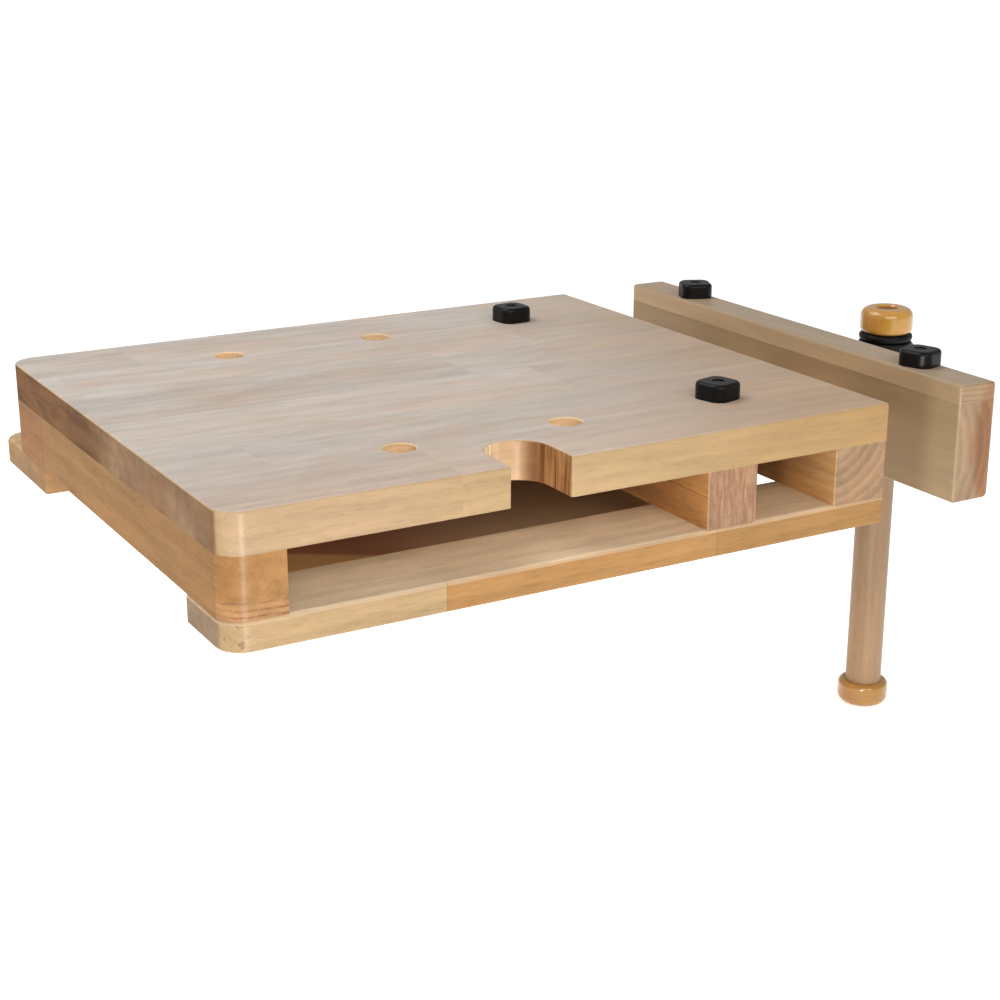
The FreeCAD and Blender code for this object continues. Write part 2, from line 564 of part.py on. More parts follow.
# ------------------------------------------------------------------ thrust plate
plate = box("plate_blank", ("@plate_thick", "@plate_size", "@plate_size"), X(OUT_X), Y("@screw_centre-@plate_size/2"),
            "@screw_height-@plate_size/2")
plate = rounded("plate_round", plate, "plate_corner", lambda e: near(e.BoundBox.YLength, 0) and near(e.BoundBox.ZLength, 0))
plate_tools = [cyl("plate_bore", "@screw_dia/2+@loose_gap", "@plate_thick+4", X(OUT_X + "-2"), Y("@screw_centre"), "@screw_height", "x")]
plate_screws = []
for k, sign in enumerate("-+"):
    for j, up in enumerate("-+"):
        n = "plate_screw%d%d" % (k, j)
        yy, zz = Y("@screw_centre%s@plate_screw_offset" % sign), "@screw_height%s@plate_screw_offset" % up
        plate_tools.append(cyl(n + "_hole", "@plate_screw_dia/2+@wood_screw_slack", "@plate_thick+4", X(OUT_X + "-2"), yy, zz, "x"))
        plate_tools.append(cone(n + "_sink", "@plate_screw_dia/2+@wood_screw_slack", "@wood_screw_head/2+@wood_screw_slack",
                                "@wood_screw_head_height", X(OUT_X + "+@plate_thick-@wood_screw_head_height"), yy, zz, "x"))
        sh = cyl(n + "_shank", "@plate_screw_dia/2", "@plate_screw_length-1", X(OUT_X + "+@plate_thick-@plate_screw_length"), yy, zz, "x")
        hd = cone(n + "_head", "@plate_screw_dia/2", "@wood_screw_head/2", "@wood_screw_head_height-0.05",
                  X(OUT_X + "+@plate_thick-@wood_screw_head_height"), yy, zz, "x")
        sa = box(n + "_slot_a", ("1.6", "5", "1"), X(OUT_X + "+@plate_thick-1.3"), Y("@screw_centre%s@plate_screw_offset-2.5" % sign), zz + "-0.5")
        sb = box(n + "_slot_b", ("1.6", "1", "5"), X(OUT_X + "+@plate_thick-1.3"), Y("@screw_centre%s@plate_screw_offset-0.5" % sign), zz + "-2.5")
        plate_screws.append(cut(n, fuse(n + "_whole", [sh, hd]), [sa, sb]))
keep(cut("plate_cut", plate, plate_tools), "thrust_plate")
keep(group("plate_screw_group", plate_screws), "thrust_plate_screws")

# ------------------------------------------------------------ screw, hub and collar
HUB_X = OUT_X + "+@plate_thick+@loose_gap+@washer_thick"
spindle = cyl("spindle", "@screw_dia/2", HUB_X + "-@screw_tail", X("@screw_tail"), Y("@screw_centre"), "@screw_height", "x")
spindle = eased("spindle_nose", spindle, "rod_chamfer",
                lambda e: isinstance(e.Curve, Part.Circle) and e.BoundBox.XMax < 150)
spigot = cyl("spindle_spigot", "@spigot_dia/2", "@spigot_length+1", X(HUB_X + "-1"), Y("@screw_centre"), "@screw_height", "x")
screw_pin_hole = cyl("spindle_pin_hole", "@hub_pin_dia/2", "60", X(HUB_X + "+@hub_pin_offset"), Y("@screw_centre-30"), "@screw_height", "y")
grub_seat = cyl("spindle_grub_seat", "@grub_dia/2", "20", X(OUT_X + "-@collar_inset-@collar_width/2"), Y("@screw_centre"), "@screw_height+@screw_dia/2-0.5")
keep(cut("spindle_cut", fuse("spindle_whole", [spindle, spigot]), [screw_pin_hole, grub_seat]), "vise_screw")

hub_a = cyl("hub_flange", "@hub_flange_dia/2", "@hub_flange_thick", X(HUB_X), Y("@screw_centre"), "@screw_height", "x")
hub_a = rounded("hub_flange_round", hub_a, "edge_round", lambda e: isinstance(e.Curve, Part.Circle)
                and e.BoundBox.XMin > V["bench_length"] / 2 + V["jaw_gap"] + V["jaw_thick"] + V["plate_thick"] + V["washer_thick"] + 4)
hub_b = cyl("hub_neck", "@hub_neck_dia/2", "@handle_offset-@hub_half", X(HUB_X + "+1"), Y("@screw_centre"), "@screw_height", "x")
hub_c = cyl("hub_barrel", "@hub_dia/2", "2*@hub_half", X(OUT_X + "+@handle_offset-@hub_half"), Y("@screw_centre"), "@screw_height", "x")
hub_c = rounded("hub_barrel_round", hub_c, "hub_round", lambda e: isinstance(e.Curve, Part.Circle))
hub_d = cyl("hub_sleeve", "@hub_sleeve_dia/2", "@hub_dia", X(OUT_X + "+@handle_offset"), Y("@screw_centre"), "@screw_height-@hub_dia/2")
hub_d = rounded("hub_sleeve_round", hub_d, "edge_round", lambda e: isinstance(e.Curve, Part.Circle))
hub_tools = [
    cyl("hub_handle_bore", "@handle_dia/2+@handle_clear", "120", X(OUT_X + "+@handle_offset"), Y("@screw_centre"), "@screw_height-60"),
    cyl("hub_socket", "@spigot_dia/2", "@spigot_length+4", X(HUB_X + "-4"), Y("@screw_centre"), "@screw_height", "x"),
    cyl("hub_pin_bore", "@hub_pin_dia/2", "60", X(HUB_X + "+@hub_pin_offset"), Y("@screw_centre-30"), "@screw_height", "y")]
keep(cut("hub_cut", fuse("hub_whole", [hub_a, hub_b, hub_c, hub_d]), hub_tools), "screw_hub")
pin = cyl("pin", "@hub_pin_dia/2", "@hub_neck_dia-1", X(HUB_X + "+@hub_pin_offset"), Y("@screw_centre-@hub_neck_dia/2+0.5"), "@screw_height", "y")
pin = eased("pin_ends", pin, "hole_chamfer", lambda e: isinstance(e.Curve, Part.Circle))
keep(pin, "hub_pin")

ring = cyl("collar_ring", "@collar_dia/2", "@collar_width", X(OUT_X + "-@collar_inset-@collar_width"), Y("@screw_centre"), "@screw_height", "x")
ring = eased("collar_ease", ring, "hole_chamfer", lambda e: isinstance(e.Curve, Part.Circle))
keep(cut("collar_cut", ring, [
    cyl("collar_bore", "@screw_dia/2", "@collar_width+4", X(OUT_X + "-@collar_inset-@collar_width-2"), Y("@screw_centre"), "@screw_height", "x"),
    cyl("collar_tap", "@grub_dia/2", "30", X(OUT_X + "-@collar_inset-@collar_width/2"), Y("@screw_centre"), "@screw_height")]), "retaining_collar")
grub = cyl("grub", "@grub_dia/2", "@grub_length-0.7", X(OUT_X + "-@collar_inset-@collar_width/2"), Y("@screw_centre"), "@screw_height+@screw_dia/2-0.5")
grub_key = doc.addObject("Part::Prism", "grub_key")
grub_key.Polygon = 6
grub_key.Circumradius = 1.5
grub_key.Height = 6
place(grub_key, X(OUT_X + "-@collar_inset-@collar_width/2"), Y("@screw_centre"), "@screw_height+@screw_dia/2+@grub_length-3.2")
keep(cut("grub_cut", grub, [grub_key]), "collar_grub_screw")

disc = cyl("washer_disc", "@washer_dia/2", "@washer_thick", X(OUT_X + "+@plate_thick+@loose_gap"), Y("@screw_centre"), "@screw_height", "x")
keep(cut("washer_cut", disc, [cyl("washer_hole", "@screw_dia/2+@running_gap", "@washer_thick+4", X(OUT_X + "+@plate_thick-1"), Y("@screw_centre"),
                                  "@screw_height", "x")]), "thrust_washer")

# ------------------------------------------------------------------------ handle
HX, HY = X(OUT_X + "+@handle_offset"), Y("@screw_centre")
RING_Z = "@screw_height+@hub_dia/2+@loose_gap"
SHOULDER = RING_Z + "+@ring_section"
bar = cyl("bar", "@handle_dia/2", SHOULDER + "-@handle_low", HX, HY, "@handle_low")
tenon_up = cyl("tenon_up", "@tenon_dia/2", "@cap_height-@tenon_recess+2", HX, HY, SHOULDER + "-2")
tenon_down = cyl("tenon_down", "@tenon_dia/2", "@cap_height-@tenon_recess+2", HX, HY, "@handle_low-@cap_height+@tenon_recess")
keep(fuse("bar_whole", [bar, tenon_up, tenon_down]), "handle_bar")


def cap(name, z, crown_up):
    blank = cyl(name + "_blank", "@cap_dia/2", "@cap_height", HX, HY, z)
    doc.recompute()
    lo, hi = blank.Shape.BoundBox.ZMin, blank.Shape.BoundBox.ZMax
    a, b = ((hi, lo) if crown_up else (lo, hi))
    r = rounded(name + "_crown", blank, "cap_round", lambda e: isinstance(e.Curve, Part.Circle) and flat_at(e, a))
    r = rounded(name + "_heel", r, "cap_round_small", lambda e: isinstance(e.Curve, Part.Circle) and flat_at(e, b)
                and near(e.Curve.Radius, V["cap_dia"] / 2))
    c = cut(name + "_bored", r, [cyl(name + "_bore", "@tenon_dia/2", "@cap_height+8", HX, HY, z + "-4")])
    return eased(name + "_mouth", c, "cap_dimple_chamfer",
                 lambda e: isinstance(e.Curve, Part.Circle) and flat_at(e, a) and near(e.Curve.Radius, V["tenon_dia"] / 2))


keep(cap("cap_up", SHOULDER, True), "handle_cap_upper")
keep(cap("cap_down", "@handle_low-@cap_height", False), "handle_cap_lower")

torus = doc.addObject("Part::Torus", "bumper")
torus.setExpression("Radius1", d("@handle_dia/2+@ring_section/2"))
torus.setExpression("Radius2", d("@ring_section/2"))
place(torus, HX, HY, RING_Z + "+@ring_section/2")
keep(torus, "handle_ring")


# -------------------------------------------------------------------- bench dogs
def dog(name, x, y, label, lift="0"):
    b = new_body(name, X(x), Y(y), "@base_thick+@block_height+@top_thick+" + lift)
    # each dog stands turned a little in its round hole
    b.setExpression("Placement.Rotation.Angle", "dims." + name.replace("dog_", "dog_turn_") + " * 1deg")
    s = new_sketch(b, name + "_square")
    rectangle(s, "-@dog_side/2", "-@dog_side/2", "@dog_side", "@dog_side")
    pad(b, name + "_head", s, "@dog_head")
    body_fillet(b, name + "_corners", "dog_corner", is_vertical)
    body_fillet(b, name + "_crown", "dog_top_round", lambda e: flat_at(e, V["dog_head"]))
    s = new_sketch(b, name + "_peg_circle")
    circle(s, "0", "0", "@dog_peg_dia/2")
    pad(b, name + "_peg", s, "@dog_peg_length", True)
    body_fillet(b, name + "_peg_end", "dog_peg_chamfer", lambda e: flat_at(e, -V["dog_peg_length"]), "PartDesign::Chamfer")
    s = new_sketch(b, name + "_dimple_circle")
    s.AttachmentOffset = Placement(Vector(0, 0, V["dog_head"] - V["dog_dimple_depth"]), Rotation())
    circle(s, "0", "0", "@dog_dimple_dia/2")
    pocket(b, name + "_dimple", s, "@dog_dimple_depth", 3.14159265 * (V["dog_dimple_dia"] / 2) ** 2 * V["dog_dimple_depth"])
    return keep(b, label)


THIRD = "@hole_first+2*@hole_step"
dog("dog_a", THIRD, "@hole_inset", "bench_dog_front")
dog("dog_b", THIRD, "@bench_depth-@hole_inset", "bench_dog_rear")
dog("dog_c", JAW_X + "+@jaw_thick/2", "@hole_inset", "jaw_dog_front", "@jaw_proud")
dog("dog_d", JAW_X + "+@jaw_thick/2", "@bench_depth-@hole_inset", "jaw_dog_rear", "@jaw_proud")

# ------------------------------------------------------------------ check and write
doc.recompute()
bad = [o.Name for o in doc.Objects if "Invalid" in o.State or "Error" in o.State]
if bad:
    raise RuntimeError("failed objects: " + ", ".join(bad))
labels = [o.Label for o in PARTS]
if len(set(labels)) != len(labels):
    raise RuntimeError("two pieces share a name")
for o in PARTS:
    if o.Shape.isNull() or not o.Shape.isValid() or not o.Shape.Solids:
        raise RuntimeError("bad shape: " + o.Label)
os.makedirs("parts", exist_ok=True)
for o in PARTS:
    o.Shape.exportStep("parts/%s.step" % o.Label)
    b = o.Shape.BoundBox
    print("%-22s solids %2d  volume %10.1f  x %7.1f %7.1f  y %7.1f %7.1f  z %7.1f %7.1f" % (
        o.Label, len(o.Shape.Solids), o.Shape.Volume, b.XMin, b.XMax, b.YMin, b.YMax, b.ZMin, b.ZMax))
print(len(PARTS), "pieces written")
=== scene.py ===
import math
import bmesh
import bpy
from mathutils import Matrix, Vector


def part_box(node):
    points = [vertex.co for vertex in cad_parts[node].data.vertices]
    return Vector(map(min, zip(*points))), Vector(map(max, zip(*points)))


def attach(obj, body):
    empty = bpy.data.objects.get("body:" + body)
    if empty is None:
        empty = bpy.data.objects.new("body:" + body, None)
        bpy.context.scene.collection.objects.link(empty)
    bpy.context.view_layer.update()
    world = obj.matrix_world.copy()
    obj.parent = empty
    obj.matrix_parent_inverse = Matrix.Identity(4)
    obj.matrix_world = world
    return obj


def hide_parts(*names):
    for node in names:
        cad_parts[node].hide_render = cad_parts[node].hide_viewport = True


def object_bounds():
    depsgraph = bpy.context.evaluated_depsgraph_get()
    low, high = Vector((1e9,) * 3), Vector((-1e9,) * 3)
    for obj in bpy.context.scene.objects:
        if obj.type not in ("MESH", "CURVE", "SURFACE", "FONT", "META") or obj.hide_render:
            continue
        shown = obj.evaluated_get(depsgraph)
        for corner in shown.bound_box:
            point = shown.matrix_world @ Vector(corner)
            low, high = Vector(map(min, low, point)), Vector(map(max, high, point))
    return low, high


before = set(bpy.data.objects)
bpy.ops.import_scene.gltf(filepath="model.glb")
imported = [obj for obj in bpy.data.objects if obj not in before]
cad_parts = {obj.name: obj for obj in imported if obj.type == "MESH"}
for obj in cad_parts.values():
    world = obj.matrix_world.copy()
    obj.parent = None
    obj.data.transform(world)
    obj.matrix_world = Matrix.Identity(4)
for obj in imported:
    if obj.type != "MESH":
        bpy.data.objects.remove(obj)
cad_lo, cad_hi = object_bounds()
scene = bpy.context.scene
scene.view_settings.view_transform = "Standard"
scene.view_settings.look = "None"


# ---------------------------------------------------------------- colour helpers
def lin(r, g, b):
    """An 8-bit display colour as linear RGBA."""
    out = []
    for c in (r, g, b):
        c /= 255.0
        out.append(c / 12.92 if c <= 0.04045 else ((c + 0.055) / 1.055) ** 2.4)
    return (*out, 1.0)


class Nodes:
    """Short names for building one material's node tree."""

    def __init__(self, name):
        self.mat = bpy.data.materials.new(name)
        self.mat.use_nodes = True
        self.t = self.mat.node_tree
        self.t.nodes.clear()
        self.out = self.t.nodes.new("ShaderNodeOutputMaterial")
        self.bsdf = self.t.nodes.new("ShaderNodeBsdfPrincipled")
        self.t.links.new(self.bsdf.outputs[0], self.out.inputs["Surface"])
        tc = self.t.nodes.new("ShaderNodeTexCoord")
        self.normal_out = tc.outputs["Normal"]
        mm = self.t.nodes.new("ShaderNodeVectorMath")
        mm.operation = "SCALE"
        mm.inputs["Scale"].default_value = 1000.0
        self.t.links.new(tc.outputs["Object"], mm.inputs[0])
        self.pos = mm.outputs[0]

    def put(self, socket, value):
        if isinstance(value, bpy.types.NodeSocket):
            self.t.links.new(value, socket)
        else:
            socket.default_value = value

    def math(self, op, a, b=0.0, c=None, clamp=False):
        n = self.t.nodes.new("ShaderNodeMath")
        n.operation = op
        n.use_clamp = clamp
        self.put(n.inputs[0], a)
        self.put(n.inputs[1], b)
        if c is not None:
            self.put(n.inputs[2], c)
        return n.outputs[0]

    def add(self, *v):
        r = v[0]
        for x in v[1:]:
            r = self.math("ADD", r, x)
        return r

    def mul(self, a, b):
        return self.math("MULTIPLY", a, b)

    def step(self, v, lo, hi, out_lo=0.0, out_hi=1.0):
        n = self.t.nodes.new("ShaderNodeMapRange")
        n.interpolation_type = "SMOOTHSTEP"
        self.put(n.inputs["Value"], v)
        n.inputs["From Min"].default_value = lo
        n.inputs["From Max"].default_value = hi
        n.inputs["To Min"].default_value = out_lo
        n.inputs["To Max"].default_value = out_hi
        return n.outputs["Result"]

    def split(self, vec):
        n = self.t.nodes.new("ShaderNodeSeparateXYZ")
        self.put(n.inputs[0], vec)
        return n.outputs

    def vec(self, x, y, z):
        n = self.t.nodes.new("ShaderNodeCombineXYZ")
        for s, v in zip(n.inputs, (x, y, z)):
            self.put(s, v)
        return n.outputs[0]

    def noise(self, vec, scale=1.0, detail=2.0, rough=0.5, distort=0.0):
        n = self.t.nodes.new("ShaderNodeTexNoise")
        self.put(n.inputs["Vector"], vec)
        n.inputs["Scale"].default_value = scale
        n.inputs["Detail"].default_value = detail
        n.inputs["Roughness"].default_value = rough
        n.inputs["Distortion"].default_value = distort
        return n.outputs[0]

    def white(self, vec):
        n = self.t.nodes.new("ShaderNodeTexWhiteNoise")
        n.noise_dimensions = "3D"
        self.put(n.inputs["Vector"], vec)
        return n.outputs["Value"]

    def mix(self, f, a, b, blend="MIX"):
        n = self.t.nodes.new("ShaderNodeMix")
        n.data_type = "RGBA"
        n.blend_type = blend
        self.put(n.inputs[0], f)
        self.put(n.inputs[6], a)
        self.put(n.inputs[7], b)
        return n.outputs[2]

    def shade(self, colour, amount):
        """A colour times a scalar."""
        n = self.t.nodes.new("ShaderNodeVectorMath")
        n.operation = "SCALE"
        self.put(n.inputs[0], colour)
        self.put(n.inputs["Scale"], amount)
        return n.outputs[0]

    def bump(self, height, strength, distance):
        n = self.t.nodes.new("ShaderNodeBump")
        n.inputs["Strength"].default_value = strength
        n.inputs["Distance"].default_value = distance
        self.put(n.inputs["Height"], height)
        self.t.links.new(n.outputs[0], self.bsdf.inputs["Normal"])

    def rgb(self, c):
        n = self.t.nodes.new("ShaderNodeRGB")
        n.outputs[0].default_value = c
        return n.outputs[0]


# ------------------------------------------------------------------------- wood
def wood(name, grain, face, edge, end, strip=None, tint=0.05, ring=(6.0, 20.0, -40.0, 0.10), warm=(200, 140, 80),
         dash=0.25, pore=0.35, rough=0.45, coat=0.0, seed=0.0, swirl=14.0, fine=0.16, cloudy=0.30, warm_amount=0.3,
         seams=0.25, special=None, coat_rough=0.12, spec=0.3, end_from=(0.55, 0.85), side_ring=1.0, ior=1.5, ring_top=None):
    """Solid wood with its fibres along one axis.  face, edge and end are the colours
    on the sides that look along the second cross axis, the first, and the fibres."""
    m = Nodes(name)
    p = m.split(m.pos)
    n = m.split(m.normal_out)
    order = {"X": (0, 1, 2), "Y": (1, 0, 2), "Z": (2, 0, 1)}[grain]
    g, a, b = (p[i] for i in order)
    ng, nb = (m.math("ABSOLUTE", n[i]) for i in (order[0], order[2]))
    seam = None
    if strip:
        width, length, offset = strip
        s = m.math("DIVIDE", m.math("ADD", a, offset), width)
        idx = m.math("FLOOR", s)
        r1 = m.white(m.vec(idx, seed, 3.7))
        along = m.add(m.math("DIVIDE", g, length), m.mul(r1, 7.0))
        seg = m.math("FLOOR", along)
        lot = m.white(m.vec(idx, seg, seed + 11.3))
        fr = m.math("FRACT", s)
        d1 = m.mul(m.math("MINIMUM", fr, m.math("SUBTRACT", 1.0, fr)), width)
        fs = m.math("FRACT", along)
        d2 = m.mul(m.math("MINIMUM", fs, m.math("SUBTRACT", 1.0, fs)), length)
        seam = m.step(m.math("MINIMUM", d1, d2), 0.12, 0.5, 1.0, 0.0)
        a2 = m.add(a, m.mul(lot, 517.0))
        b2 = m.add(b, m.mul(lot, 229.0))
        pith_a = m.add(m.mul(idx, width), m.mul(lot, 517.0), ring[1] - offset)
        pith_b = m.add(m.mul(lot, 229.0), ring[2])
    else:
        lot = m.white(m.vec(seed, 1.3, 2.9))
        a2, b2 = m.add(a, seed * 31.0), m.add(b, seed * 17.0)
        pith_a, pith_b = ring[1] + seed * 31.0, ring[2] + seed * 17.0
    figure = m.noise(m.vec(m.mul(g, 0.006), m.mul(a2, 0.03), m.mul(b2, 0.03)), 1.0, 3.0, 0.55)
    cloud = m.noise(m.vec(m.mul(g, 0.016), m.mul(a2, 0.11), m.mul(b2, 0.11)), 1.0, 3.0, 0.6)
    fibre = m.noise(m.vec(m.mul(g, 0.05), m.mul(a2, 0.8), m.mul(b2, 0.8)), 1.0, 3.0, 0.6)
    dashes = m.noise(m.vec(m.mul(g, 0.13), m.mul(a2, 1.5), m.mul(b2, 1.5)), 1.0, 1.0, 0.4)
    dashes = m.step(dashes, 0.585, 0.72)
    da, db = m.math("SUBTRACT", a2, pith_a), m.math("SUBTRACT", b2, pith_b)
    rad = m.math("SQRT", m.add(m.mul(da, da), m.mul(db, db)))
    rad = m.add(rad, m.mul(figure, swirl), m.mul(fibre, 0.8))
    turn = m.math("FRACT", m.math("DIVIDE", rad, ring[0]))
    wave = m.mul(m.step(turn, 0.0, 0.75), m.step(turn, 0.80, 1.0, 1.0, 0.0))
    broad = m.math("SINE", m.math("DIVIDE", rad, ring[0] * 0.62))
    on_end = m.step(ng, *end_from)
    on_edge = m.step(nb, 0.55, 0.85, 1.0, 0.0)
    dots = m.noise(m.vec(m.mul(a, 1.3), m.mul(b, 1.3), m.mul(g, 0.3)), 1.0, 2.0, 0.6)
    dots = m.mul(m.step(dots, 0.58, 0.72), on_end)
    long = m.math("SUBTRACT", 1.0, on_end)
    ring_depth = m.add(ring[3] * side_ring, m.mul(on_end, ring[3] * (1.0 - side_ring)))
    if ring_top:
        ring_depth = m.mul(ring_depth, m.step(b, ring_top - 0.5, ring_top + 0.3, 1.0, 0.0))
    base = m.mix(on_edge, face, edge)
    base = m.mix(on_end, base, end)
    base = m.mix(m.mul(m.step(figure, 0.42, 0.72), warm_amount), base, lin(*warm))
    value = m.add(1.0,
                  m.mul(m.math("SUBTRACT", fibre, 0.5), fine * 2.0),
                  m.mul(m.math("SUBTRACT", cloud, 0.5), cloudy * 2.0),
                  m.mul(m.math("SUBTRACT", figure, 0.5), 0.2),
                  m.mul(m.mul(m.math("SUBTRACT", wave, 0.5), ring_depth), -1.0),
                  m.mul(m.mul(broad, ring_depth), -0.45),
                  m.mul(m.math("SUBTRACT", lot, 0.5), tint * 2.0))
    value = m.math("SUBTRACT", value, m.mul(m.mul(dashes, long), dash))
    value = m.math("SUBTRACT", value, m.mul(dots, pore))
    if seam is not None:
        value = m.math("SUBTRACT", value, m.mul(seam, seams))
    if special:
        base, value = special(m, p, n, base, value, fibre, cloud)
    m.put(m.bsdf.inputs["Base Color"], m.shade(base, m.math("MAXIMUM", value, 0.05)))
    m.put(m.bsdf.inputs["Roughness"], m.add(rough - 0.06, m.mul(fibre, 0.12), m.mul(dashes, 0.12)))
    m.bsdf.inputs["Coat Weight"].default_value = coat
    m.bsdf.inputs["Coat Roughness"].default_value = coat_rough
    m.bsdf.inputs["Specular IOR Level"].default_value = spec
    m.bsdf.inputs["IOR"].default_value = ior
    relief = m.add(m.mul(fibre, 0.35), m.mul(dashes, -0.8), m.mul(dots, -0.8))
    if seam is not None:
        relief = m.math("SUBTRACT", relief, m.mul(seam, 0.6))
    m.bump(relief, 0.4, 0.00025)
    return m.mat


def near_point(m, p, x, y, r):
    """1 within r millimetres of a vertical line, fading over half a millimetre."""
    dx, dy = m.math("SUBTRACT", p[0], x), m.math("SUBTRACT", p[1], y)
    dist = m.math("SQRT", m.add(m.mul(dx, dx), m.mul(dy, dy)))
    return m.step(dist, r, r + 0.5, 1.0, 0.0)


def upright(m, n):
    """1 on upright walls, 0 on faces that look up or down."""
    return m.step(m.math("ABSOLUTE", n[2]), 0.35, 0.7, 1.0, 0.0)


def top_special(m, p, n, base, value, fibre, cloud):
    wall = upright(m, n)
    # painted light: the bored walls of the dog holes are painted pale orange for the light bounced inside them
    col = m.math("PINGPONG", m.math("ADD", p[0], 88.5 + 113.5 * 4), 56.75)
    row = m.math("MINIMUM", m.math("ABSOLUTE", m.math("SUBTRACT", p[1], 33.0)), m.math("ABSOLUTE", m.math("SUBTRACT", p[1], 295.0)))
    dist = m.math("SQRT", m.add(m.mul(col, col), m.mul(row, row)))
    hole = m.mul(m.step(dist, 10.3, 11.2, 1.0, 0.0), m.step(m.math("ABSOLUTE", n[2]), 0.8, 0.95, 1.0, 0.0))
    base = m.mix(hole, base, LIT_HOLE_WALL)
    # sawn wall of the notch, striped where it crosses the glued strips; its pale tones at the left are partly painted
    # light, and it turns darker brown towards the right
    inside = m.mul(m.step(m.math("ABSOLUTE", m.math("ADD", p[0], 30.0)), 20.6, 21.6, 1.0, 0.0), m.step(p[1], 17.0, 18.0, 1.0, 0.0))
    notch = m.mul(m.mul(inside, wall), m.step(p[1], -30.6, -28.0))
    lines = m.noise(m.vec(m.mul(p[1], 0.36), m.mul(p[0], 0.22), m.mul(p[2], 0.012)), 1.0, 2.0, 0.6)
    round_wall = m.add(p[0], m.mul(m.math("SUBTRACT", 16.0, p[1]), 0.5))
    sawn = m.mix(m.step(lines, 0.42, 0.70), lin(248, 228, 190), lin(222, 182, 134))
    sawn = m.mix(m.step(round_wall, -40.0, -28.0), sawn, lin(221, 186, 146))
    sawn = m.mix(m.step(round_wall, -22.0, -8.0), sawn, lin(152, 108, 74))
    sawn = m.mix(m.step(round_wall, -9.0, 0.0), sawn, m.mix(m.step(lines, 0.40, 0.62), lin(188, 140, 92), lin(120, 70, 42)))
    base = m.mix(notch, base, sawn)
    # the left end is grey end grain at the front and browner towards the rear
    left = m.mul(m.step(n[0], -0.985, -0.9, 1.0, 0.0), m.step(p[0], -224.0, -215.0, 1.0, 0.0))
    patch = m.noise(m.vec(m.mul(p[1], 0.022), m.mul(p[2], 0.03), 7.0), 1.0, 1.0, 0.5)
    base = m.mix(m.mul(left, m.step(patch, 0.45, 0.6, 0.0, 0.7)), base, lin(150, 113, 77))
    figure = m.noise(m.vec(m.mul(p[1], 0.018), m.mul(p[2], 0.09), 4.0), 1.0, 2.0, 0.5, 0.6)
    brown = m.mix(m.step(figure, 0.40, 0.64), END_REAR, END_KNOT)
    base = m.mix(m.mul(left, m.step(m.add(p[1], m.mul(figure, 50.0)), 165.0, 215.0)), base, brown)
    # the front edge runs from pale pinkish at the left to darker yellowish brown towards the vise
    front = m.mul(m.step(n[1], -0.7, -0.3, 1.0, 0.0), m.step(p[1], -28.0, -20.0, 1.0, 0.0))
    base = m.mix(m.mul(front, m.step(m.add(p[0], m.mul(cloud, 60.0)), -120.0, -10.0, 0.6, 0.0)), base, lin(207, 174, 141))
    base = m.mix(m.mul(front, m.step(m.add(p[0], m.mul(cloud, 60.0)), 40.0, 260.0, 0.0, 0.8)), base, lin(178, 143, 96))
    # soft patches of pinkish and greyish tone, warmer along the front edge; the greyish tone is partly a painted
    # reflection
    up = m.step(n[2], 0.7, 0.95)
    blotch = m.noise(m.vec(m.mul(p[0], 0.011), m.mul(p[1], 0.017), 2.0), 1.0, 3.0, 0.6, 0.5)
    base = m.mix(m.mul(up, m.step(blotch, 0.50, 0.66, 0.0, 0.5)), base, lin(203, 183, 168))
    base = m.mix(m.mul(up, m.step(blotch, 0.34, 0.48, 0.45, 0.0)), base, lin(204, 199, 192))
    base = m.mix(m.mul(up, m.step(m.add(p[1], m.mul(cloud, 40.0)), 0.0, 90.0, 0.45, 0.0)), base, lin(210, 185, 164))
    # painted shade: the strips turn browner and darker towards the vise, standing in for light falling off
    painted_falloff = m.step(m.add(p[0], m.mul(p[1], -0.35), m.mul(cloud, 120.0)), 50.0, 270.0, 0.0, 0.8)
    base = m.mix(m.mul(up, painted_falloff), base, lin(184, 156, 128))
    return base, value


def segments(tones, cuts):
    """Tone changes at glued joints along X."""
    def special(m, p, n, base, value, fibre, cloud):
        line = None
        side = m.step(m.math("ABSOLUTE", n[2]), 0.5, 0.85, 1.0, 0.25)
        up = m.step(n[2], 0.5, 0.85)
        long_side = m.step(m.math("ABSOLUTE", n[0]), 0.9, 0.985, 1.0, 0.0)
        for tone, (lo, hi) in zip(tones, zip([-400.0] + cuts, cuts + [400.0])):
            here = m.mul(m.step(p[0], lo - 0.05, lo + 0.05), m.step(p[0], hi - 0.05, hi + 0.05, 1.0, 0.0))
            amount = m.add(tone[3], m.mul(up, tone[4] - tone[3]))
            base = m.mix(m.mul(m.mul(here, amount), long_side), base, lin(*tone[:3]))
        # painted highlight: the rounded upper front edge is painted paler, as if catching the light
        painted_edge_highlight = m.mul(m.step(n[2], 0.12, 0.4), m.step(n[2], 0.75, 0.95, 1.0, 0.0))
        base = m.mix(m.mul(painted_edge_highlight, 0.45), base, lin(238, 212, 178))
        # small dark flecks in the end grain at the left corner
        fleck = m.step(m.noise(m.pos, 0.22, 2.0, 0.6), 0.58, 0.68)
        fleck = m.mul(m.mul(fleck, m.step(p[0], -216.0, -208.0, 1.0, 0.0)), m.mul(m.step(n[2], 0.6, 0.9, 1.0, 0.0), m.step(p[1], -20.0, -10.0, 1.0, 0.0)))
        base = m.mix(m.mul(fleck, 0.5), base, lin(122, 84, 58))
        for c in cuts:
            d = m.step(m.math("ABSOLUTE", m.math("SUBTRACT", p[0], c)), 0.15, 0.5, 1.0, 0.0)
            line = d if line is None else m.math("MAXIMUM", line, d)
        return base, m.math("SUBTRACT", value, m.mul(m.mul(line, side), 0.22))
    return special


